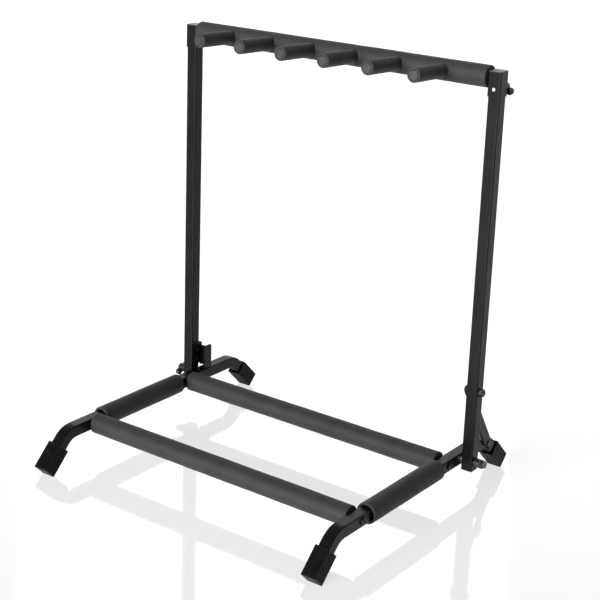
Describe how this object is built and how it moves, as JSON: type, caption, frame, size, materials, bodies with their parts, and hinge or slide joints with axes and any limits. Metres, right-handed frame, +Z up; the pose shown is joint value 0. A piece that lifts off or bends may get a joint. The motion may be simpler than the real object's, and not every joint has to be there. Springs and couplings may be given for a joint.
{
  "type": "guitar rack",
  "caption": "Folding floor rack that holds guitars upright in a row, with foam-covered base bars and a foam-covered top bar with neck pegs.",
  "frame": {"origin": "on the floor, midway between the side rails and midway between the front and rear feet", "axes": "+Z up, +X to the right seen from the front (the side the pegs point to), +Y to the back"},
  "size_m": [0.7082, 0.617, 0.7781],
  "materials": {
    "powder_coat": "satin black powder coat on steel",
    "foam": "matte closed-cell foam, soft to the touch",
    "rubber_feet": "matte ribbed rubber",
    "knob_plastic": "satin moulded plastic",
    "plug_plastic": "matte moulded plastic",
    "bright_steel": "zinc plated",
    "black_hardware": "blackened steel"
  },
  "bodies": {
    "base": {"base_bar_bolts": "black_hardware", "base_bar_foam_front": "foam", "base_bar_foam_rear": "foam", "base_bar_front": "powder_coat", "base_bar_plugs": "black_hardware", "base_bar_rear": "powder_coat", "foot_front_left": "rubber_feet", "foot_front_right": "rubber_feet", "foot_rear_left": "rubber_feet", "foot_rear_right": "rubber_feet", "pivot_spacer_left": "bright_steel", "pivot_spacer_right": "bright_steel", "rail_foam_left": "foam", "rail_foam_right": "foam", "side_rail_left": "powder_coat", "side_rail_right": "powder_coat", "stay_pin": "black_hardware"},
    "upright_right": {"upright_right": "powder_coat", "upright_plug_right": "plug_plastic", "stay_bolt": "black_hardware", "stay_washer": "bright_steel", "stay_nut": "black_hardware"},
    "upright_left": {"upright_left": "powder_coat", "upright_plug_left": "plug_plastic", "stop_bracket": "powder_coat", "bracket_rivets": "black_hardware"},
    "stay": {"stay": "powder_coat"},
    "top_bar": {"peg_1": "powder_coat", "peg_2": "powder_coat", "peg_3": "powder_coat", "peg_4": "powder_coat", "peg_5": "powder_coat", "peg_6": "powder_coat", "peg_foam_1": "foam", "peg_foam_2": "foam", "peg_foam_3": "foam", "peg_foam_4": "foam", "peg_foam_5": "foam", "peg_foam_6": "foam", "peg_plug_1": "plug_plastic", "peg_plug_2": "plug_plastic", "peg_plug_3": "plug_plastic", "peg_plug_4": "plug_plastic", "peg_plug_5": "plug_plastic", "peg_plug_6": "plug_plastic", "sleeve_button": "bright_steel", "top_bar": "powder_coat", "top_bar_foam": "foam", "top_cap_left": "plug_plastic", "top_cap_right": "plug_plastic", "top_sleeve_left": "powder_coat", "top_sleeve_right": "powder_coat"},
    "pivot_knob_left": {"pivot_knob_left": "knob_plastic", "pivot_stud_left": "bright_steel"},
    "clamp_knob_left": {"clamp_knob_left": "knob_plastic", "clamp_stud_left": "bright_steel"},
    "pivot_knob_right": {"pivot_knob_right": "knob_plastic", "pivot_stud_right": "bright_steel"},
    "clamp_knob_right": {"clamp_knob_right": "knob_plastic", "clamp_stud_right": "bright_steel"}
  },
  "joints": [
    {"name": "fold_right", "type": "hinge", "parent": "base", "child": "upright_right", "pos_m": [0.3255, 0.144, 0.068], "axis": [1, 0, 0], "range_deg": [0, 71]},
    {"name": "fold_left", "type": "hinge", "parent": "base", "child": "upright_left", "pos_m": [-0.3255, 0.144, 0.068], "axis": [1, 0, 0], "range_deg": [0, 71]},
    {"name": "stay_swing", "type": "hinge", "parent": "upright_right", "child": "stay", "pos_m": [0.3122, 0.144, 0.202], "axis": [1, 0, 0], "range_deg": [0, 148]},
    {"name": "top_bar_lift", "type": "slide", "parent": "upright_right", "child": "top_bar", "axis": [0, 0, 1], "range_m": [0, 0.045]},
    {"name": "pivot_knob_turn_left", "type": "hinge", "parent": "base", "child": "pivot_knob_left", "pos_m": [-0.3445, 0.144, 0.068], "axis": [-1, 0, 0], "continuous": true},
    {"name": "clamp_knob_turn_left", "type": "hinge", "parent": "top_bar", "child": "clamp_knob_left", "pos_m": [-0.3255, 0.163, 0.741], "axis": [0, 1, 0], "continuous": true},
    {"name": "pivot_knob_turn_right", "type": "hinge", "parent": "base", "child": "pivot_knob_right", "pos_m": [0.3445, 0.144, 0.068], "axis": [1, 0, 0], "continuous": true},
    {"name": "clamp_knob_turn_right", "type": "hinge", "parent": "top_bar", "child": "clamp_knob_right", "pos_m": [0.3255, 0.163, 0.741], "axis": [0, 1, 0], "continuous": true}
  ],
  "couplings": [
    {"joint": "fold_left", "follows": "fold_right", "ratio": 1}
  ]
}
